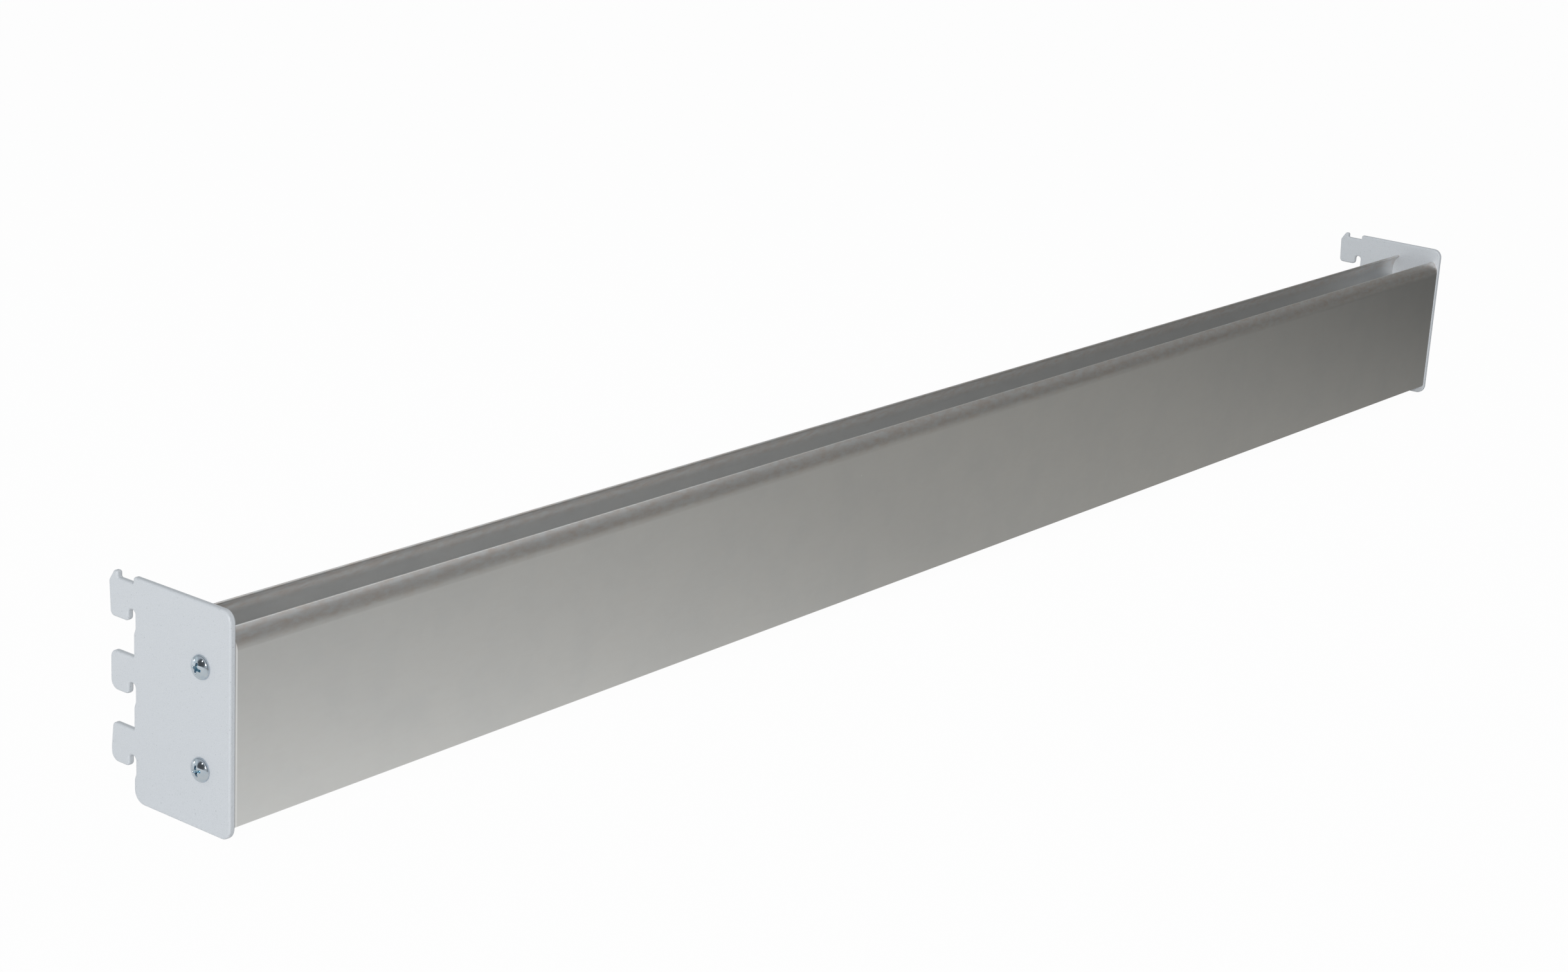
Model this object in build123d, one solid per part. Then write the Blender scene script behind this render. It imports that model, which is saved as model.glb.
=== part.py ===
from build123d import *
import os
from math import asin, degrees

# Bin rail: an extruded aluminium channel, screwed between two steel end plates that hook into slotted uprights.
# Sizes are in millimetres. The origin is the middle of the footprint, on the surface that the plates stand on.
# +X runs along the rail, +Y from the rail's face back to the hooks, and +Z is up.

# Length over both end plates
OVERALL_LENGTH = 1000.0

# End plate, cut from flat steel
PLATE_THICKNESS = 3.0
PLATE_HEIGHT = 92.7
PLATE_DEPTH = 55.0
PLATE_FRONT_CORNER = 5.0
PLATE_UPPER_REAR_CORNER = 1.0
PLATE_LOWER_REAR_CORNER = 5.5
PLATE_EDGE_ROUND = 0.9

# Hooks on the plate's rear edge, spaced as the slots of the upright
HOOK_COUNT = 3
HOOK_PITCH = 30.0
LOWEST_HOOK_TOP = 30.0
HOOK_REACH = 13.5
HOOK_HEIGHT = 16.2
HOOK_ROOT_ROUND = 0.8
UPPER_BACK_CORNER = 3.0
LOWEST_BACK_CORNER = 1.8
TOP_HOOK_HEEL = 2.3
LOWER_HOOK_HEEL = 4.0
LIP_CORNER = 1.8

# The lowest hook's back leans in towards its top
LEAN_INSET = 1.0
LEAN_HEIGHT = 10.0
LEAN_ROUND = 6.0

# Notch behind each hook's lip, which takes the upright's wall
UPRIGHT_WALL_GAP = 3.0
NOTCH_DEPTH = 5.3
NOTCH_CORNER = 1.8
RELIEF_DEPTH = 0.9
RELIEF_BELOW_LIP = 1.8
RELIEF_RAMP = 2.5
RELIEF_ROUND = 1.5

# The top hook's back leans out towards its top, where a spur stands on the hook
TOP_HOOK_FLARE = 0.8
SPUR_FROM_REAR_EDGE = 9.2
SPUR_TOP_WIDTH = 2.2
SPUR_DROP_BELOW_PLATE_TOP = 0.1
SPUR_SLOPE_HEIGHT = 4.5
SPUR_FOOT_ROUND = 0.6
SPUR_CORNER = 1.0
SPUR_SLOPE_ROUND = 2.0

# Rail, extruded with both walls curved inwards at the top
RAIL_DEPTH = 32.0
RAIL_HEIGHT = 80.0
RAIL_WALL = 1.4
RAIL_FLOOR = 1.5
RAIL_SETBACK = 0.2
RAIL_LIFT = 5.1
RAIL_LOWER_CORNER = 0.8
RAIL_LIP_RADIUS = 10.8
RAIL_LIP_HEIGHT = 8.3
RAIL_WEB = 1.3
RAIL_INNER_CORNER = 0.6
RAIL_END_CHAMFER = 0.8

# Screw ports in the rail, each in the middle of a web
PORT_WALL = 1.7
PORT_CLEARANCE = 0.05
LOWER_SCREW_HEIGHT = 25.2
SCREW_SPACING = 41.6

# Pan-head screws with a cross recess
SHANK_DIAMETER = 5.0
SHANK_LENGTH = 16.0
SHANK_TIP_CHAMFER = 0.7
PLATE_HOLE_CLEARANCE = 0.25
HEAD_DIAMETER = 10.0
HEAD_HEIGHT = 2.8
HEAD_RIM_HEIGHT = 0.8
HEAD_RIM_ROUND = 0.5
RECESS_ACROSS = 4.9
RECESS_FOOT_ACROSS = 1.8
RECESS_DEPTH = 1.9
RECESS_WING = 1.0
SCREW_TURN = 25.0

# Places that follow from the sizes above
PLATE_OUTER_X = OVERALL_LENGTH / 2
PLATE_INNER_X = PLATE_OUTER_X - PLATE_THICKNESS
PLATE_FRONT_Y = -(PLATE_DEPTH + HOOK_REACH + TOP_HOOK_FLARE) / 2
RAIL_FRONT_Y = PLATE_FRONT_Y + RAIL_SETBACK
SCREW_Y = RAIL_FRONT_Y + RAIL_DEPTH / 2
SCREW_HEIGHTS = {"lower": LOWER_SCREW_HEIGHT, "upper": LOWER_SCREW_HEIGHT + SCREW_SPACING}
PORT_RADIUS = SHANK_DIAMETER / 2 + PORT_CLEARANCE
SIDES = {"left": -1, "right": 1}


def hook_back(index, top, bottom):
    """Corners down a hook's back, from its top to its heel: (depth, height, corner radius)."""
    back = PLATE_DEPTH + HOOK_REACH
    if index == HOOK_COUNT - 1:
        front = PLATE_DEPTH + SPUR_FROM_REAR_EDGE
        peak = PLATE_HEIGHT - SPUR_DROP_BELOW_PLATE_TOP
        return [
            (front, top, SPUR_FOOT_ROUND),
            (front, peak, SPUR_CORNER),
            (front + SPUR_TOP_WIDTH, peak, SPUR_CORNER),
            (back + TOP_HOOK_FLARE, peak - SPUR_SLOPE_HEIGHT, SPUR_SLOPE_ROUND),
            (back, bottom, TOP_HOOK_HEEL),
        ]
    if index == 0:
        return [
            (back - LEAN_INSET, top, LOWEST_BACK_CORNER),
            (back, top - LEAN_HEIGHT, LEAN_ROUND),
            (back, bottom, LOWER_HOOK_HEEL),
        ]
    return [(back, top, UPPER_BACK_CORNER), (back, bottom, LOWER_HOOK_HEEL)]


def hook_corners(index):
    """Corners of one hook, from its root on the rear edge round to where the edge goes on below it."""
    top = LOWEST_HOOK_TOP + index * HOOK_PITCH
    bottom = top - HOOK_HEIGHT
    lip = PLATE_DEPTH + UPRIGHT_WALL_GAP
    relief = PLATE_DEPTH - RELIEF_DEPTH
    relief_end = bottom - RELIEF_BELOW_LIP
    return [
        (PLATE_DEPTH, top, HOOK_ROOT_ROUND),
        *hook_back(index, top, bottom),
        (lip, bottom, LIP_CORNER),
        (lip, bottom + NOTCH_DEPTH, NOTCH_CORNER),
        (relief, bottom + NOTCH_DEPTH, NOTCH_CORNER),
        (relief, relief_end, RELIEF_ROUND),
        (PLATE_DEPTH, relief_end - RELIEF_RAMP, RELIEF_ROUND),
    ]


def plate_outline():
    """The plate's cut outline, as depth behind its front edge and height above its bottom."""
    corners = [
        (0, 0, PLATE_FRONT_CORNER),
        (0, PLATE_HEIGHT, PLATE_FRONT_CORNER),
        (PLATE_DEPTH, PLATE_HEIGHT, PLATE_UPPER_REAR_CORNER),
    ]
    for index in reversed(range(HOOK_COUNT)):
        corners += hook_corners(index)
    corners.append((PLATE_DEPTH, 0, PLATE_LOWER_REAR_CORNER))
    points = [(depth, height) for depth, height, _ in corners]
    radii = [radius for _, _, radius in corners]
    return make_face(FilletPolyline(*points, radius=radii, close=True))


def end_plate(side):
    """One end plate with softly rounded edges and two screw holes, at the rail's end on that side."""
    blank = extrude(Plane.YZ * plate_outline(), PLATE_THICKNESS)
    rims = blank.faces().filter_by(Axis.X).edges()
    plate = fillet(rims, PLATE_EDGE_ROUND)
    hole_radius = SHANK_DIAMETER / 2 + PLATE_HOLE_CLEARANCE
    for height in SCREW_HEIGHTS.values():
        hole = Cylinder(hole_radius, 2 * PLATE_THICKNESS, rotation=(0, 90, 0))
        plate -= Pos(PLATE_THICKNESS / 2, SCREW_Y - PLATE_FRONT_Y, height) * hole
    start_x = PLATE_INNER_X if side > 0 else -PLATE_OUTER_X
    return Pos(start_x, PLATE_FRONT_Y, 0) * plate


def lip():
    """The curved lip on one wall, from the bend to its round tip, in the plane of the section."""
    middle_radius = RAIL_LIP_RADIUS - RAIL_WALL / 2
    sweep = degrees(asin((RAIL_LIP_HEIGHT - RAIL_WALL / 2) / middle_radius))
    centre = (RAIL_DEPTH / 2 - RAIL_LIP_RADIUS, RAIL_HEIGHT - RAIL_LIP_HEIGHT)
    outer = CenterArc(centre, RAIL_LIP_RADIUS, 0, sweep)
    inner = CenterArc(centre, RAIL_LIP_RADIUS - RAIL_WALL, 0, sweep)
    tip = TangentArc(outer @ 1, inner @ 1, tangent=outer % 1)
    foot = Line(inner @ 0, outer @ 0)
    return make_face(outer + tip + inner + foot)


def rail_section():
    """The extruded section: across the rail from its middle, and up from its underside."""
    bend = RAIL_HEIGHT - RAIL_LIP_HEIGHT
    outside = Pos(0, bend / 2) * Rectangle(RAIL_DEPTH, bend)
    section = fillet(outside.vertices().group_by(Axis.Y)[0], RAIL_LOWER_CORNER)
    lower_web, upper_web = [height - RAIL_LIFT for height in SCREW_HEIGHTS.values()]
    inside = RAIL_DEPTH - 2 * RAIL_WALL
    cells = {RAIL_FLOOR: lower_web - RAIL_WEB / 2, lower_web + RAIL_WEB / 2: upper_web - RAIL_WEB / 2}
    for bottom, top in cells.items():
        cell = RectangleRounded(inside, top - bottom, RAIL_INNER_CORNER)
        section -= Pos(0, (bottom + top) / 2) * cell
    trough_floor = upper_web + RAIL_WEB / 2
    section -= Pos(0, (trough_floor + bend) / 2) * Rectangle(inside, bend - trough_floor)
    for height in (lower_web, upper_web):
        section += Pos(0, height) * Circle(PORT_RADIUS + PORT_WALL)
        section -= Pos(0, height) * Circle(PORT_RADIUS)
    return section + lip() + mirror(lip(), Plane.YZ)


def rail():
    """The rail, cut square to fit between the plates, with the upright edges of its ends broken."""
    length = 2 * PLATE_INNER_X
    section = Plane(origin=(-PLATE_INNER_X, 0, 0), x_dir=(0, 1, 0), z_dir=(1, 0, 0)) * rail_section()
    block = Pos(0, 0, RAIL_HEIGHT / 2) * Box(length, RAIL_DEPTH, RAIL_HEIGHT)
    broken_block = chamfer(block.edges().filter_by(Axis.Z), RAIL_END_CHAMFER)
    bar = extrude(section, length) & broken_block
    return Pos(0, RAIL_FRONT_Y + RAIL_DEPTH / 2, RAIL_LIFT) * bar


def recess_wing():
    """One wing pair of the cross recess, narrowing towards its foot."""
    profile = Polyline(
        (-RECESS_ACROSS / 2, HEAD_HEIGHT),
        (-RECESS_FOOT_ACROSS / 2, HEAD_HEIGHT - RECESS_DEPTH),
        (RECESS_FOOT_ACROSS / 2, HEAD_HEIGHT - RECESS_DEPTH),
        (RECESS_ACROSS / 2, HEAD_HEIGHT),
        close=True,
    )
    return extrude(Plane.XZ * make_face(profile), RECESS_WING / 2, both=True)


def screw(turn):
    """A pan-head screw standing on the plane under its head, with its cross recess turned by that angle."""
    rim = HEAD_DIAMETER / 2
    shank = SHANK_DIAMETER / 2
    crown = TangentArc((0, HEAD_HEIGHT), (rim, HEAD_RIM_HEIGHT), tangent=(1, 0))
    outline = Polyline(
        (0, HEAD_HEIGHT),
        (0, -SHANK_LENGTH),
        (shank - SHANK_TIP_CHAMFER, -SHANK_LENGTH),
        (shank, -SHANK_LENGTH + SHANK_TIP_CHAMFER),
        (shank, 0),
        (rim, 0),
        (rim, HEAD_RIM_HEIGHT),
    )
    body = revolve(Plane.XZ * make_face(outline + crown), Axis.Z)
    widest = body.edges().filter_by(GeomType.CIRCLE).group_by(SortBy.LENGTH)[-1]
    body = fillet(widest.sort_by(Axis.Z)[-1], HEAD_RIM_ROUND)
    for quarter in (0, 90):
        body -= Rot(0, 0, turn + quarter) * recess_wing()
    return body


def placed_screw(side, height, turn):
    """A screw driven into the rail's port through the plate on that side."""
    return Pos(side * PLATE_OUTER_X, SCREW_Y, height) * Rot(0, side * 90, 0) * screw(turn)


parts = {"rail": rail()}
for side_name, side in SIDES.items():
    parts[f"{side_name}_end_plate"] = end_plate(side)
    for level, height in SCREW_HEIGHTS.items():
        parts[f"{side_name}_{level}_screw"] = placed_screw(side, height, SCREW_TURN * len(parts))

os.makedirs("parts", exist_ok=True)
for name, shape in parts.items():
    export_step(shape, f"parts/{name}.step")
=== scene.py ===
from math import pi, radians

import bmesh
import bpy
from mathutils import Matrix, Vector


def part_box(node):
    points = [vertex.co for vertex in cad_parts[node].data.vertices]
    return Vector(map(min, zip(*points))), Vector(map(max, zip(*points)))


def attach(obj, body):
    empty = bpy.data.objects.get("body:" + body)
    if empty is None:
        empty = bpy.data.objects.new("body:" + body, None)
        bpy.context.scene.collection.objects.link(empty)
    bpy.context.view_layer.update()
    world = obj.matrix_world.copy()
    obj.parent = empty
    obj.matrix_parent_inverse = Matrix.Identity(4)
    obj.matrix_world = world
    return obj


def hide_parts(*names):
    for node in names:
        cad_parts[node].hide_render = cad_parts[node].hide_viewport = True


# A rail for storage bins: an extruded aluminium channel between two steel plates that hook into uprights.
# Metres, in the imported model's frame: +X along the rail, +Y from its face back to the hooks, +Z up.
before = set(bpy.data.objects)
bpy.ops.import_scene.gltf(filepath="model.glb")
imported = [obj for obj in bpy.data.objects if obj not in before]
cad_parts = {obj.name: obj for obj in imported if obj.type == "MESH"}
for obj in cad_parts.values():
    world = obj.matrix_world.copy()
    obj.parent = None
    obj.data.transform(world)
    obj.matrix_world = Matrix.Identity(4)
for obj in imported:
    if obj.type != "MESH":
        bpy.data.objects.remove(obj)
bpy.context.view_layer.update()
scene = bpy.context.scene
scene.view_settings.view_transform = "Standard"


# Camera
# The view is from beyond the left end, in front of the rail's face and a little above it, through a short
# telephoto lens. Its place and turn follow from the outline of the plates and the rail in the photograph.
CAMERA_PLACE = (-1.2012, -0.8202, 0.4696)
CAMERA_TURN = (73.030, -3.352, -51.770)        # degrees about X, Y and Z
SENSOR_WIDTH = 36.0
LENS_LENGTH = 68.139
NEAREST_SEEN, FURTHEST_SEEN = 0.01, 50.0

lens = bpy.data.cameras.new("camera")
lens.sensor_width = SENSOR_WIDTH
lens.lens = LENS_LENGTH
lens.clip_start, lens.clip_end = NEAREST_SEEN, FURTHEST_SEEN
camera = bpy.data.objects.new("camera", lens)
camera.location = CAMERA_PLACE
camera.rotation_euler = [radians(angle) for angle in CAMERA_TURN]
scene.collection.objects.link(camera)
scene.camera = camera


# Rail
# One aluminium extrusion, drawn through a die, sawn to length and satin anodised. Its section is the packed
# solid's own, which stays. The end screws cut their thread into round ports inside it.
MM = 0.001
ALUMINIUM = "#E6E6E5"
ALUMINIUM_LIP_TINT = "#C8AC97"
ALUMINIUM_CLOUD = "#D6D8DA"
NICK = "#F4F4F2"
DIE_LINE_WIDTH = 0.4 * MM      # about ten times coarser than the real die lines, which are too fine to show
DIE_LINE_LENGTH = 160 * MM
DIE_LINE_DEPTH = 0.015 * MM
DIE_LINE_STRENGTH = 0.05
SMOOTHEST, ROUGHEST = 0.36, 0.41
LIP_TINT_WIDTH = 2.4 * MM
LIP_TINT_LENGTH = 6 * MM
LIP_TINT_ON_FACE, LIP_TINT_ON_LIP = 0.03, 0.42
BEND_BELOW_TOP = 9.1 * MM      # where the tint begins, at the foot of the bend
LIP_BELOW_TOP = 4.1 * MM       # where it is at its full strength
CLOUD_WIDTH = 26 * MM
CLOUD_MOST = 0.25
NICK_SPACING = 34 * MM
NICK_RADIUS = 0.3 * MM


def colour(text):
    """A linear colour from an sRGB hex value."""
    channels = [int(text[i:i + 2], 16) / 255 for i in (1, 3, 5)]
    return tuple([c / 12.92 if c <= 0.04045 else ((c + 0.055) / 1.055) ** 2.4 for c in channels] + [1.0])


def node(tree, kind, links=(), sockets=(), stops=(), **settings):
    """Adds a node: settings are its properties, sockets the values of its inputs by name or number, links
    pairs of an input and its source, and stops a ramp's positions with their levels of grey."""
    made = tree.nodes.new(kind)
    for name, value in settings.items():
        setattr(made, name, value)
    for name, value in dict(sockets).items():
        made.inputs[name].default_value = value
    for name, source in links:
        tree.links.new(source, made.inputs[name])
    for i, (position, level) in enumerate(dict(stops).items()):
        elements = made.color_ramp.elements
        element = elements[i] if i < len(elements) else elements.new(position)
        element.position = position
        element.color = (level, level, level, 1)
    return made


def new_material(name):
    """An empty node material, with its output and Principled shader."""
    material = bpy.data.materials.new(name)
    material.use_nodes = True
    material.node_tree.nodes.clear()
    tree = material.node_tree
    shader = node(tree, "ShaderNodeBsdfPrincipled")
    node(tree, "ShaderNodeOutputMaterial", links=[("Surface", shader.outputs["BSDF"])])
    return material, tree, shader


# Satin anodised aluminium, etched and then given a clear oxide: it shows the room as a soft blur, drawn out a
# little across the die lines, with pale clouds and nicks on its face and a duller, warmer mottle on its lips.
anodised, tree, shader = new_material("satin_anodised_aluminium")
place = node(tree, "ShaderNodeTexCoord").outputs["Object"]
along = node(tree, "ShaderNodeMapping", [("Vector", place)],
             sockets={"Scale": (1 / DIE_LINE_LENGTH, 1 / DIE_LINE_WIDTH, 1 / DIE_LINE_WIDTH)})
die_lines = node(tree, "ShaderNodeTexNoise", [("Vector", along.outputs[0])],
                 sockets={"Scale": 1.0, "Detail": 3.0, "Roughness": 0.6})
broad = node(tree, "ShaderNodeMapping", [("Vector", place)],
             sockets={"Scale": (1 / LIP_TINT_LENGTH, 1 / LIP_TINT_WIDTH, 1 / LIP_TINT_WIDTH)})
lip_tint_noise = node(tree, "ShaderNodeTexNoise", [("Vector", broad.outputs[0])],
               sockets={"Scale": 1.0, "Detail": 5.0, "Roughness": 0.6})
lip_tint_spots = node(tree, "ShaderNodeMapRange", [("Value", lip_tint_noise.outputs["Fac"])],
              sockets={"From Min": 0.36, "From Max": 0.70, "To Min": 0.0, "To Max": 1.0})
height = node(tree, "ShaderNodeSeparateXYZ", [("Vector", place)])
rail_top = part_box("rail")[1].z
on_lip = node(tree, "ShaderNodeMapRange", [("Value", height.outputs["Z"])], interpolation_type="SMOOTHSTEP",
              sockets={"From Min": rail_top - BEND_BELOW_TOP, "From Max": rail_top - LIP_BELOW_TOP,
                       "To Min": LIP_TINT_ON_FACE, "To Max": LIP_TINT_ON_LIP})
# Darker and warmer towards the top: a mottle, faint on the face, that grows from the foot of the bend to the
# lips.
tint = node(tree, "ShaderNodeMath", [(0, lip_tint_spots.outputs[0]), (1, on_lip.outputs[0])], operation="MULTIPLY")
base = node(tree, "ShaderNodeMix", [("Factor", tint.outputs[0])], data_type="RGBA",
            sockets={6: colour(ALUMINIUM), 7: colour(ALUMINIUM_LIP_TINT)})
clouds = node(tree, "ShaderNodeTexNoise", [("Vector", place)],
              sockets={"Scale": 1 / CLOUD_WIDTH, "Detail": 5.0, "Roughness": 0.62})
clouded = node(tree, "ShaderNodeMapRange", [("Value", clouds.outputs["Fac"])],
               sockets={"From Min": 0.42, "From Max": 0.72, "To Min": 0.0, "To Max": CLOUD_MOST})
base = node(tree, "ShaderNodeMix", [("Factor", clouded.outputs[0]), (6, base.outputs[2])], data_type="RGBA",
            sockets={7: colour(ALUMINIUM_CLOUD)})
nick = node(tree, "ShaderNodeTexVoronoi", [("Vector", place)], sockets={"Scale": 1 / NICK_SPACING})
nicked = node(tree, "ShaderNodeMapRange", [("Value", nick.outputs["Distance"])],
              sockets={"From Min": NICK_RADIUS / NICK_SPACING, "From Max": 2 * NICK_RADIUS / NICK_SPACING,
                       "To Min": 1.0, "To Max": 0.0})
base = node(tree, "ShaderNodeMix", [("Factor", nicked.outputs[0]), (6, base.outputs[2])], data_type="RGBA",
            sockets={7: colour(NICK)})
tree.links.new(base.outputs[2], shader.inputs["Base Color"])
rough = node(tree, "ShaderNodeMapRange", [("Value", die_lines.outputs["Fac"])],
             sockets={"From Min": 0.3, "From Max": 0.7, "To Min": SMOOTHEST, "To Max": ROUGHEST})
tree.links.new(rough.outputs[0], shader.inputs["Roughness"])
relief = node(tree, "ShaderNodeBump", [("Height", die_lines.outputs["Fac"])],
              sockets={"Strength": DIE_LINE_STRENGTH, "Distance": DIE_LINE_DEPTH})
tree.links.new(relief.outputs[0], shader.inputs["Normal"])
shader.inputs["Metallic"].default_value = 1.0

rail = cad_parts["rail"]
rail.data.materials.clear()
rail.data.materials.append(anodised)


# End plates
# Two mirrored plates, laser cut from 3 mm steel and powder coated light grey. The coat rounds every edge and
# dries with a fine orange peel and scattered pinholes. Three hooks on each drop into an upright's slots.
COAT = "#DADDE1"
COAT_SHADE = "#D0D4D8"
SPECK = "#A9AFB4"
PEEL_WIDTH = 1.1 * MM
RELIEF_DEPTH = 0.12 * MM
RELIEF_STRENGTH = 0.6
MOTTLE_WIDTH = 0.5 * MM
SPECK_PITCH = 0.8 * MM         # about twice the real size, so that the specks show
SPECK_MOST = 0.6
COAT_ROUGHNESS = 0.34

# Light grey powder coat, sprayed on dry and baked: a soft sheen with no sharp reflections, over fine ripples,
# a faint mottle and small dark specks.
coated, tree, shader = new_material("light_grey_powder_coat")
place = node(tree, "ShaderNodeTexCoord").outputs["Object"]
peel = node(tree, "ShaderNodeTexNoise", [("Vector", place)],
            sockets={"Scale": 1 / PEEL_WIDTH, "Detail": 3.0, "Roughness": 0.6})
mottle = node(tree, "ShaderNodeTexNoise", [("Vector", place)],
              sockets={"Scale": 1 / MOTTLE_WIDTH, "Detail": 3.0, "Roughness": 0.6})
mottled = node(tree, "ShaderNodeMapRange", [("Value", mottle.outputs["Fac"])],
               sockets={"From Min": 0.3, "From Max": 0.7})
base = node(tree, "ShaderNodeMix", [("Factor", mottled.outputs[0])], data_type="RGBA",
            sockets={6: colour(COAT), 7: colour(COAT_SHADE)})
speck = node(tree, "ShaderNodeTexNoise", [("Vector", place)],
             sockets={"Scale": 1 / SPECK_PITCH, "Detail": 2.0, "Roughness": 0.7})
specks = node(tree, "ShaderNodeMapRange", [("Value", speck.outputs["Fac"])],
              sockets={"From Min": 0.64, "From Max": 0.72, "To Min": 0.0, "To Max": SPECK_MOST})
specked = node(tree, "ShaderNodeMix", [("Factor", specks.outputs[0]), (6, base.outputs[2])], data_type="RGBA",
               sockets={7: colour(SPECK)})
tree.links.new(specked.outputs[2], shader.inputs["Base Color"])
height = node(tree, "ShaderNodeMath", [(0, peel.outputs["Fac"]), (1, specks.outputs[0])],
              operation="SUBTRACT")
relief = node(tree, "ShaderNodeBump", [("Height", height.outputs[0])],
              sockets={"Strength": RELIEF_STRENGTH, "Distance": RELIEF_DEPTH})
tree.links.new(relief.outputs[0], shader.inputs["Normal"])
shader.inputs["Roughness"].default_value = COAT_ROUGHNESS

for name in ("left_end_plate", "right_end_plate"):
    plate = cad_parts[name]
    plate.data.materials.clear()
    plate.data.materials.append(coated)


# Screws
# Four M5 pan-head screws with a cross recess, cold headed from steel wire and bright zinc plated with a blue
# passivation. Two at each end go through the plate into the rail's ports.
HEAD_RADIUS = 5.0 * MM
HEAD_HEIGHT = 2.8 * MM
RIM_HEIGHT = 0.8 * MM
RIM_ROUND = 0.5 * MM
UNDER_EDGE = 0.1 * MM
SHANK_RADIUS = 2.5 * MM
SHANK_LENGTH = 16.0 * MM
SHANK_TIP = 0.7 * MM
RECESS_REACH = 2.45 * MM
RECESS_FOOT_REACH = 0.9 * MM
RECESS_DEPTH = 1.9 * MM
RECESS_HALF_WIDTH = 0.5 * MM
RECESS_CENTRE = 1.1 * MM
RECESS_EDGE = 0.10 * MM
GRID_STEPS = ((0.6, 10), (3.0, 24), (4.4, 8), (4.7, 3), (4.9, 4), (5.0, 6))    # reach in mm, steps up to it
SCREW_TURNS = {"left_lower_screw": 12, "left_upper_screw": 78,                 # degrees
               "right_lower_screw": 125, "right_upper_screw": 150}
SHARP_ANGLE = 50
ZINC = "#D3D7DA"
ZINC_BLUE = "#B9C8D6"
ZINC_POOLED_AND_SHADED = "#A5C4D2"
ZINC_ROUGHNESS = 0.10
BLUSH_WIDTH = 2.22 * MM
GRAIN_WIDTH = MM / 3           # far coarser than the plating's real crystals, which are too fine to show
GRAIN_DEPTH = 0.01 * MM
GRAIN_STRENGTH = 0.15


def ease(value, low, high):
    """Rises smoothly from 0 at low to 1 at high."""
    share = min(max((value - low) / (high - low), 0.0), 1.0)
    return share * share * (3 - 2 * share)


def recess(x, y):
    """How deep the cross recess is under a point of the head."""
    depth = (1 - ease((x * x + y * y) ** 0.5, RECESS_CENTRE - 4 * RECESS_EDGE, RECESS_CENTRE)) * RECESS_DEPTH
    for along, off in ((abs(x), abs(y)), (abs(y), abs(x))):
        slope = min(max((RECESS_REACH - along) / (RECESS_REACH - RECESS_FOOT_REACH), 0.0), 1.0)
        wing = 1 - ease(off, RECESS_HALF_WIDTH - RECESS_EDGE, RECESS_HALF_WIDTH + RECESS_EDGE)
        depth = max(depth, slope * wing * RECESS_DEPTH)
    return depth


def crown(radius):
    """Height of the domed head over the plate, with its rim rounded."""
    rise = HEAD_HEIGHT - RIM_HEIGHT
    dome_radius = (HEAD_RADIUS ** 2 + rise ** 2) / (2 * rise)
    height = HEAD_HEIGHT - dome_radius + (dome_radius ** 2 - radius ** 2) ** 0.5
    into_rim = max(radius - HEAD_RADIUS + RIM_ROUND, 0.0)
    return height - RIM_ROUND + (RIM_ROUND ** 2 - into_rim ** 2) ** 0.5


def grid_lines():
    """Where the head's grid lines lie, from -1 to 1, closest at the recess's walls and at the rim."""
    lines, start = [0.0], 0.0
    for reach, count in GRID_STEPS:
        lines += [start + (reach - start) * (i + 1) / count for i in range(count)]
        start = reach
    lines = [line * MM / HEAD_RADIUS for line in lines]
    return [-line for line in reversed(lines[1:])] + lines


def one_screw():
    """A screw standing on the plane under its head: a grid drawn out to a disc, then rings down the shank."""
    made = bmesh.new()
    pool_and_shade = made.verts.layers.float.new("in_recess")
    lines = grid_lines()
    grid = []
    for u in lines:
        grid.append([])
        for v in lines:
            x, y = HEAD_RADIUS * u * (1 - v * v / 2) ** 0.5, HEAD_RADIUS * v * (1 - u * u / 2) ** 0.5
            radius = min((x * x + y * y) ** 0.5, HEAD_RADIUS)
            point = made.verts.new((x, y, crown(radius) - recess(x, y)))
            point[pool_and_shade] = recess(x, y) / RECESS_DEPTH
            grid[-1].append(point)
    for row, above in zip(grid, grid[1:]):
        for i in range(len(lines) - 1):
            made.faces.new((row[i], above[i], above[i + 1], row[i + 1]))
    columns = list(zip(*grid))
    # The grid's four borders, one after the other, are the edge of the head, which the other rings follow.
    rings = [grid[-1][:-1] + list(columns[-1][:0:-1]) + grid[0][:0:-1] + list(columns[0][:-1])]
    for radius, height in ((HEAD_RADIUS, UNDER_EDGE), (HEAD_RADIUS - UNDER_EDGE, 0.0),
                           (SHANK_RADIUS, 0.0), (SHANK_RADIUS, SHANK_TIP - SHANK_LENGTH),
                           (SHANK_RADIUS - SHANK_TIP, -SHANK_LENGTH)):
        share = radius / HEAD_RADIUS
        rings.append([made.verts.new((point.co.x * share, point.co.y * share, height)) for point in rings[0]])
    for inner, outer in zip(rings, rings[1:]):
        for i, point in enumerate(inner):
            j = (i + 1) % len(inner)
            made.faces.new((point, outer[i], outer[j], inner[j]))
    made.faces.new(list(reversed(rings[-1])))
    for face in made.faces:
        face.smooth = True
    mesh = bpy.data.meshes.new("pan_head_screw")
    made.to_mesh(mesh)
    made.free()
    mesh.set_sharp_from_angle(angle=radians(SHARP_ANGLE))
    return bpy.data.objects.new("pan_head_screw", mesh)
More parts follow.
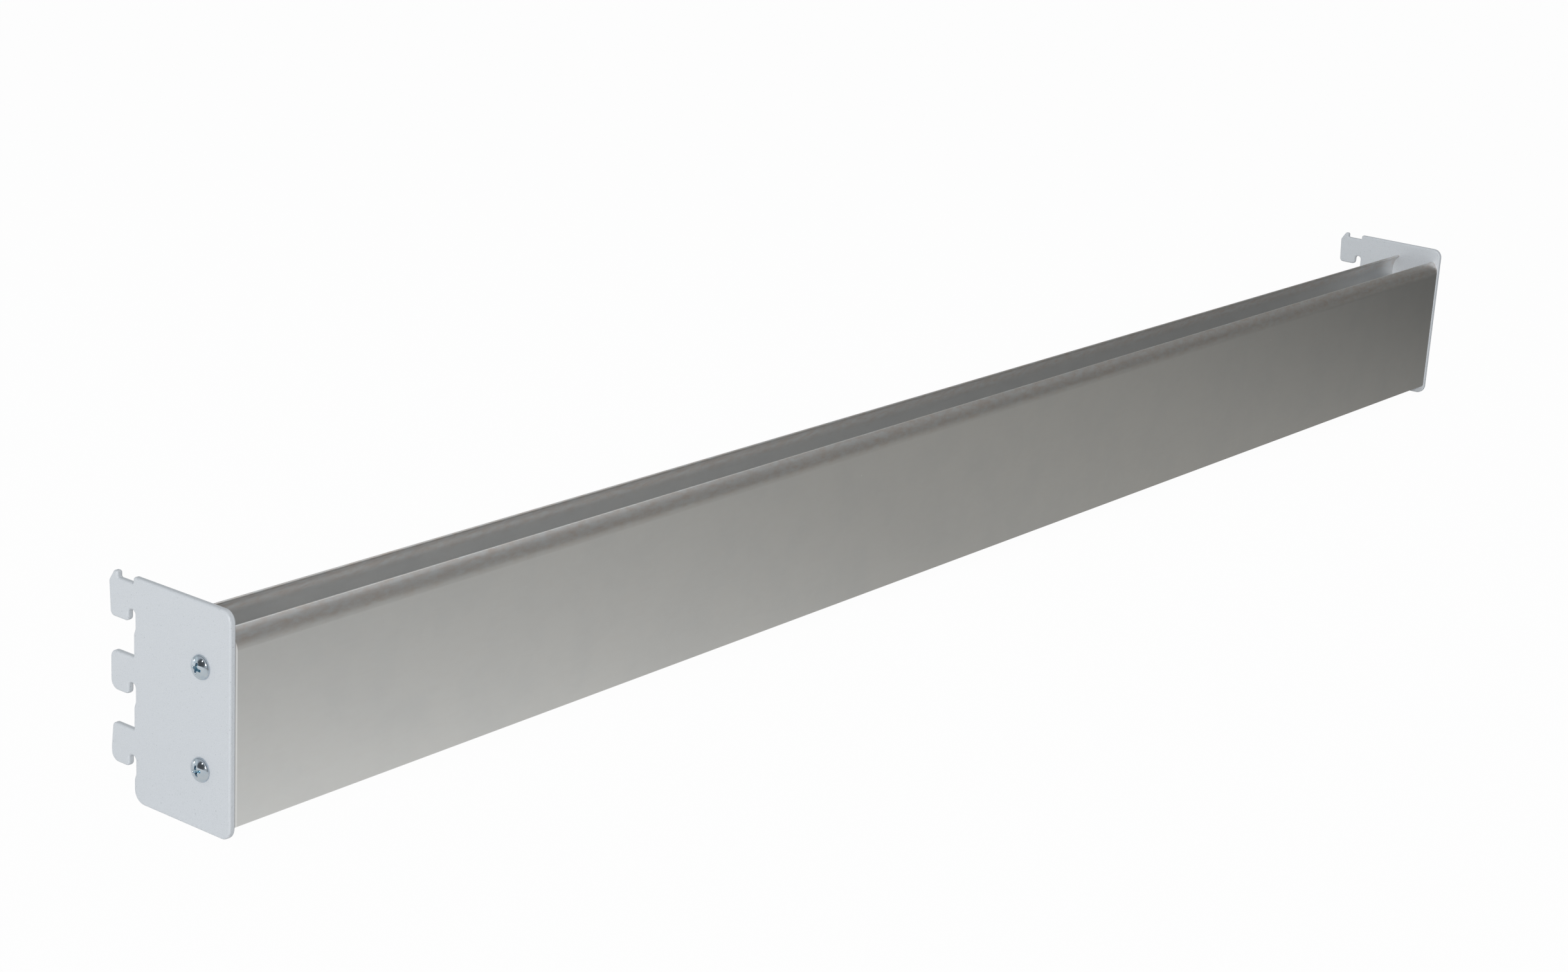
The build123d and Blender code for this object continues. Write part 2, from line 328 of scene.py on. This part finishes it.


# Bright zinc plate with a blue passivation: a nearly sharp mirror with a faint blue blush, and bluer in the
# recess, where the bath pools, and darker the deeper the recess goes, which is painted shade.
zinc, tree, shader = new_material("bright_zinc_plate")
place = node(tree, "ShaderNodeTexCoord").outputs["Object"]
blush = node(tree, "ShaderNodeTexNoise", [("Vector", place)],
             sockets={"Scale": 1 / BLUSH_WIDTH, "Detail": 2.0})
base = node(tree, "ShaderNodeMix", [("Factor", blush.outputs["Fac"])], data_type="RGBA",
            sockets={6: colour(ZINC), 7: colour(ZINC_BLUE)})
depth = node(tree, "ShaderNodeAttribute", attribute_name="in_recess")
# Painted shade: the deeper the recess, the darker the zinc, besides the blue of the passivation that gathers
# there.
base = node(tree, "ShaderNodeMix", [("Factor", depth.outputs["Fac"]), (6, base.outputs[2])], data_type="RGBA",
            sockets={7: colour(ZINC_POOLED_AND_SHADED)})
tree.links.new(base.outputs[2], shader.inputs["Base Color"])
grain = node(tree, "ShaderNodeTexNoise", [("Vector", place)],
             sockets={"Scale": 1 / GRAIN_WIDTH, "Detail": 2.0})
relief = node(tree, "ShaderNodeBump", [("Height", grain.outputs["Fac"])],
              sockets={"Strength": GRAIN_STRENGTH, "Distance": GRAIN_DEPTH})
tree.links.new(relief.outputs[0], shader.inputs["Normal"])
shader.inputs["Metallic"].default_value = 1.0
shader.inputs["Roughness"].default_value = ZINC_ROUGHNESS

# The tree sets one screw on each seat: a point on the plate's outer face, which carries the way the screw
# faces and how far its recess happens to be turned.
places, facings, angles = [], [], []
for name, degrees in SCREW_TURNS.items():
    low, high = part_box(name)
    side = 1 if low.x > 0 else -1
    plate_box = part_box(name.split("_")[0] + "_end_plate")
    places.append((plate_box[side > 0].x, (low.y + high.y) / 2, (low.z + high.z) / 2))
    facings += [0.0, side * pi / 2, 0.0]
    angles.append(radians(degrees))
seats = bpy.data.meshes.new("screw_seats")
seats.from_pydata(places, [], [])
seats.attributes.new("facing", "FLOAT_VECTOR", "POINT").data.foreach_set("vector", facings)
seats.attributes.new("recess_angle", "FLOAT", "POINT").data.foreach_set("value", angles)

setting = bpy.data.node_groups.new("screws_on_seats", "GeometryNodeTree")
for name, kind in (("Seats", "Geometry"), ("Screw", "Object"), ("Size", "Float"), ("Plating", "Material")):
    setting.interface.new_socket(name, in_out="INPUT", socket_type="NodeSocket" + kind)
setting.interface.new_socket("Screws", in_out="OUTPUT", socket_type="NodeSocketGeometry")
given = node(setting, "NodeGroupInput")
screw_shape = node(setting, "GeometryNodeObjectInfo", [("Object", given.outputs["Screw"])])
faced = node(setting, "GeometryNodeInputNamedAttribute", data_type="FLOAT_VECTOR", sockets={"Name": "facing"})
turned = node(setting, "GeometryNodeInputNamedAttribute", data_type="FLOAT", sockets={"Name": "recess_angle"})
euler = node(setting, "FunctionNodeEulerToRotation", [(0, faced.outputs["Attribute"])])
spin = node(setting, "FunctionNodeAxisAngleToRotation", [("Angle", turned.outputs["Attribute"])],
            sockets={"Axis": (0, 0, 1)})
way = node(setting, "FunctionNodeRotateRotation",
           [("Rotation", euler.outputs[0]), ("Rotate By", spin.outputs[0])], rotation_space="LOCAL")
set_screws = node(setting, "GeometryNodeInstanceOnPoints",
                  [("Points", given.outputs["Seats"]), ("Instance", screw_shape.outputs["Geometry"]),
                   ("Rotation", way.outputs[0]), ("Scale", given.outputs["Size"])])
real = node(setting, "GeometryNodeRealizeInstances", [("Geometry", set_screws.outputs[0])])
plated = node(setting, "GeometryNodeSetMaterial",
              [("Geometry", real.outputs[0]), ("Material", given.outputs["Plating"])])
node(setting, "NodeGroupOutput", [("Screws", plated.outputs[0])])

master = one_screw()
scene.collection.objects.link(master)
screws = bpy.data.objects.new("end_screws", seats)
scene.collection.objects.link(screws)
modifier = screws.modifiers.new("screws", "NODES")
modifier.node_group = setting
inputs = {"Screw": master, "Size": 1.0, "Plating": zinc}
for socket in setting.interface.items_tree:
    if socket.name in inputs:
        modifier[socket.identifier] = inputs[socket.name]
bpy.context.view_layer.update()
shaped = bpy.data.meshes.new_from_object(screws.evaluated_get(bpy.context.evaluated_depsgraph_get()))
screws.modifiers.clear()
screws.data = shaped
bpy.data.objects.remove(master)
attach(screws, "root")
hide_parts(*SCREW_TURNS)


# Floor
# A sheet of white paper, which shows white to the camera and keeps a faint shadow. To the metal it shows a
# painted pool of light instead: painted white behind the rail and round its left end, and painted grey to the
# right and in front, where it is darker.
PAPER = "#F4F4F4"
PAPER_WIDTH = 12.0
SHADOW_SHARE = 0.03
PAINTED_POOL_NEAR = "#FDFFFF"
PAINTED_POOL_FAR = "#FFFDF6"
NEAR_TO_FAR = (0.45, 0.75)
POOL_START, POOL_END = -2.2, 1.0               # X of the pool of light, and its level at shares of that way
POOL = {0.0: 0.8, 0.30: 0.92, 0.44: 0.80, 0.5: 0.78, 0.6: 0.58,
        0.69: 0.37, 0.8: 0.28, 0.875: 0.18, 0.95: 0.05, 1.0: 0.03}
POOL_DIM, POOL_BRIGHT = (-0.40, 0.45), (-0.03, 1.0)    # Y and level at the pool's front edge and inside it
POOL_EDGE_ENDS = (-0.45, 0.10)                 # X over which that edge fades out
FRONT_EDGE = (-0.30, -0.90)                    # Y over which the level turns to the one further in front
FRONT_LEVEL = 0.34
BACK_EDGE = (0.04, 0.30)                       # and to the one further behind
BACK_LEVEL = 0.95

bpy.ops.mesh.primitive_plane_add(size=PAPER_WIDTH)
floor = bpy.context.object
floor.name = "paper_floor"

# Matt white paper: no sheen of its own, only white with the object's shadow to the camera, and in reflections
# the painted pool of light.
paper = bpy.data.materials.new("white_paper_with_painted_pool")
paper.use_nodes = True
tree = paper.node_tree
tree.nodes.clear()
seen = node(tree, "ShaderNodeLightPath")
spot = node(tree, "ShaderNodeSeparateXYZ", [("Vector", node(tree, "ShaderNodeTexCoord").outputs["Object"])])
reach = node(tree, "ShaderNodeMapRange", [("Value", spot.outputs["X"])],
             sockets={"From Min": POOL_START, "From Max": POOL_END})
along = node(tree, "ShaderNodeValToRGB", [("Fac", reach.outputs[0])], stops=POOL)
across = node(tree, "ShaderNodeMapRange", [("Value", spot.outputs["Y"])], interpolation_type="SMOOTHSTEP",
              sockets={"From Min": POOL_DIM[0], "From Max": POOL_BRIGHT[0],
                       "To Min": POOL_DIM[1], "To Max": POOL_BRIGHT[1]})
fade = node(tree, "ShaderNodeMapRange", [("Value", spot.outputs["X"])], interpolation_type="SMOOTHSTEP",
            sockets={"From Min": POOL_EDGE_ENDS[0], "From Max": POOL_EDGE_ENDS[1]})
across = node(tree, "ShaderNodeMix", [(0, fade.outputs[0]), (2, across.outputs[0])], sockets={3: 1.0})
pool = node(tree, "ShaderNodeMath", [(0, along.outputs[0]), (1, across.outputs[0])], operation="MULTIPLY")
ahead = node(tree, "ShaderNodeMapRange", [("Value", spot.outputs["Y"])], interpolation_type="SMOOTHSTEP",
             sockets={"From Min": FRONT_EDGE[0], "From Max": FRONT_EDGE[1]})
level = node(tree, "ShaderNodeMix", [(0, ahead.outputs[0]), (2, pool.outputs[0])], sockets={3: FRONT_LEVEL})
back = node(tree, "ShaderNodeMapRange", [("Value", spot.outputs["Y"])], interpolation_type="SMOOTHSTEP",
            sockets={"From Min": BACK_EDGE[0], "From Max": BACK_EDGE[1]})
level = node(tree, "ShaderNodeMix", [(0, back.outputs[0]), (2, level.outputs[0])], sockets={3: BACK_LEVEL})
matt = node(tree, "ShaderNodeBsdfDiffuse", sockets={"Color": colour(PAPER)})
far_side = node(tree, "ShaderNodeMapRange", [("Value", reach.outputs[0])],
                sockets={"From Min": NEAR_TO_FAR[0], "From Max": NEAR_TO_FAR[1]})
tone = node(tree, "ShaderNodeMix", [("Factor", far_side.outputs[0])], data_type="RGBA",
            sockets={6: colour(PAINTED_POOL_NEAR), 7: colour(PAINTED_POOL_FAR)})
# Painted light: the paper glows with the painted pool, which reflections see in place of a lit floor.
mirrored = node(tree, "ShaderNodeEmission", [("Strength", level.outputs[0]), ("Color", tone.outputs[2])])
white = node(tree, "ShaderNodeEmission", sockets={"Color": (1, 1, 1, 1), "Strength": 1.0})
to_camera = node(tree, "ShaderNodeMixShader", [(1, white.outputs[0]), (2, matt.outputs[0])],
                 sockets={0: SHADOW_SHARE})
painted_pool_in_metal = node(tree, "ShaderNodeMixShader", [(1, mirrored.outputs[0]), (2, matt.outputs[0])],
                sockets={0: SHADOW_SHARE})
gloss = node(tree, "ShaderNodeMath",
             [(0, seen.outputs["Is Glossy Ray"]), (1, seen.outputs["Is Transmission Ray"])],
             operation="MAXIMUM")
first = node(tree, "ShaderNodeMixShader",
             [(0, gloss.outputs[0]), (1, matt.outputs[0]), (2, painted_pool_in_metal.outputs[0])])
both = node(tree, "ShaderNodeMixShader",
            [(0, seen.outputs["Is Camera Ray"]), (1, first.outputs[0]), (2, to_camera.outputs[0])])
node(tree, "ShaderNodeOutputMaterial", [("Surface", both.outputs[0])])
floor.data.materials.append(paper)


# Room and lamps
# The room is brightest to the left and dark to the right of the rail, and a pale backdrop stands behind it.
# The light is a little cool on the left and warm on the right. Four lamps stand left, behind and above.
BRIGHT_SIDE = Vector((-0.95, 0.15, 0.25)).normalized()
# From the dark side, 0, to the bright side, 1, and how much light comes from there.
ROOM = {0.0: 0.06, 0.05: 0.09, 0.1: 0.13, 0.135: 0.29, 0.16: 0.31, 0.2: 0.30, 0.26: 0.28, 0.32: 0.30,
        0.4: 0.50, 0.5: 0.48, 0.6: 0.30, 0.7: 0.36, 0.85: 0.60, 0.93: 0.55, 0.965: 0.12, 1.0: 0.10}
COOL_LIGHT = "#F6FBFF"
WARM_LIGHT = "#FFFDF7"
WARM_TO_COOL = (0.12, 0.28)
BACKDROP = 0.2
BACKDROP_EDGE = (0.52, 0.72)
BACKDROP_TOP = (0.34, 0.48)
BACKDROP_TINT = "#F1FFFC"

world = bpy.data.worlds.new("studio_room")
scene.world = world
world.use_nodes = True
tree = world.node_tree
tree.nodes.clear()
seen = node(tree, "ShaderNodeLightPath")
direction = node(tree, "ShaderNodeTexCoord").outputs["Generated"]
facing = node(tree, "ShaderNodeVectorMath", [(0, direction)], sockets={1: BRIGHT_SIDE},
              operation="DOT_PRODUCT")
facing = node(tree, "ShaderNodeMapRange", [("Value", facing.outputs["Value"])],
              sockets={"From Min": -1.0, "From Max": 1.0})
fall = node(tree, "ShaderNodeValToRGB", [("Fac", facing.outputs[0])], stops=ROOM)
warmth = node(tree, "ShaderNodeMapRange", [("Value", facing.outputs[0])],
              sockets={"From Min": WARM_TO_COOL[0], "From Max": WARM_TO_COOL[1]})
light_colour = node(tree, "ShaderNodeMix", [("Factor", warmth.outputs[0])], data_type="RGBA",
                    sockets={6: colour(WARM_LIGHT), 7: colour(COOL_LIGHT)})
room = node(tree, "ShaderNodeBackground", [("Strength", fall.outputs[0]), ("Color", light_colour.outputs[2])])
parts = node(tree, "ShaderNodeSeparateXYZ", [("Vector", direction)])
back = node(tree, "ShaderNodeMapRange", [("Value", parts.outputs["Y"])], interpolation_type="SMOOTHSTEP",
            sockets={"From Min": BACKDROP_EDGE[0], "From Max": BACKDROP_EDGE[1], "To Max": BACKDROP})
top = node(tree, "ShaderNodeMapRange", [("Value", parts.outputs["Z"])], interpolation_type="SMOOTHSTEP",
           sockets={"From Min": BACKDROP_TOP[0], "From Max": BACKDROP_TOP[1], "To Min": 1.0, "To Max": 0.0})
behind = node(tree, "ShaderNodeMath", [(0, back.outputs[0]), (1, top.outputs[0])], operation="MULTIPLY")
backdrop = node(tree, "ShaderNodeBackground", [("Strength", behind.outputs[0])],
                sockets={"Color": colour(BACKDROP_TINT)})
all_round = node(tree, "ShaderNodeAddShader", [(0, room.outputs[0]), (1, backdrop.outputs[0])])
white = node(tree, "ShaderNodeBackground", sockets={"Color": (1, 1, 1, 1), "Strength": 1.0})
both = node(tree, "ShaderNodeMixShader",
            [(0, seen.outputs["Is Camera Ray"]), (1, all_round.outputs[0]), (2, white.outputs[0])])
node(tree, "ShaderNodeOutputWorld", [("Surface", both.outputs[0])])


def softbox(name, place, aim, size, watts):
    """A square studio light at a place, facing its aim."""
    light = bpy.data.lights.new(name, "AREA")
    light.shape = "SQUARE"
    light.size = size
    light.energy = watts
    box = bpy.data.objects.new(name, light)
    box.rotation_euler = (Vector(aim) - Vector(place)).to_track_quat("-Z", "Y").to_euler()
    box.location = place
    scene.collection.objects.link(box)


# The key lights the left plate, and the high one the tops of the lips. The small ones sparkle on the screws.
softbox("key_softbox", place=(-4.4, -2.5, 1.6), aim=(0.0, 0.0, 0.05), size=0.7, watts=120)
softbox("high_softbox", place=(0.10, 0.0, 0.90), aim=(-0.45, 0.0, 0.08), size=0.8, watts=1.1)
softbox("small_left_lamp", place=(-4.0, 0.35, 2.1), aim=(-0.5, 0.0, 0.05), size=0.3, watts=3.0)
softbox("small_back_lamp", place=(-1.67, 3.0, 0.3), aim=(-0.5, 0.0, 0.05), size=0.25, watts=1.8)

bpy.context.view_layer.update()
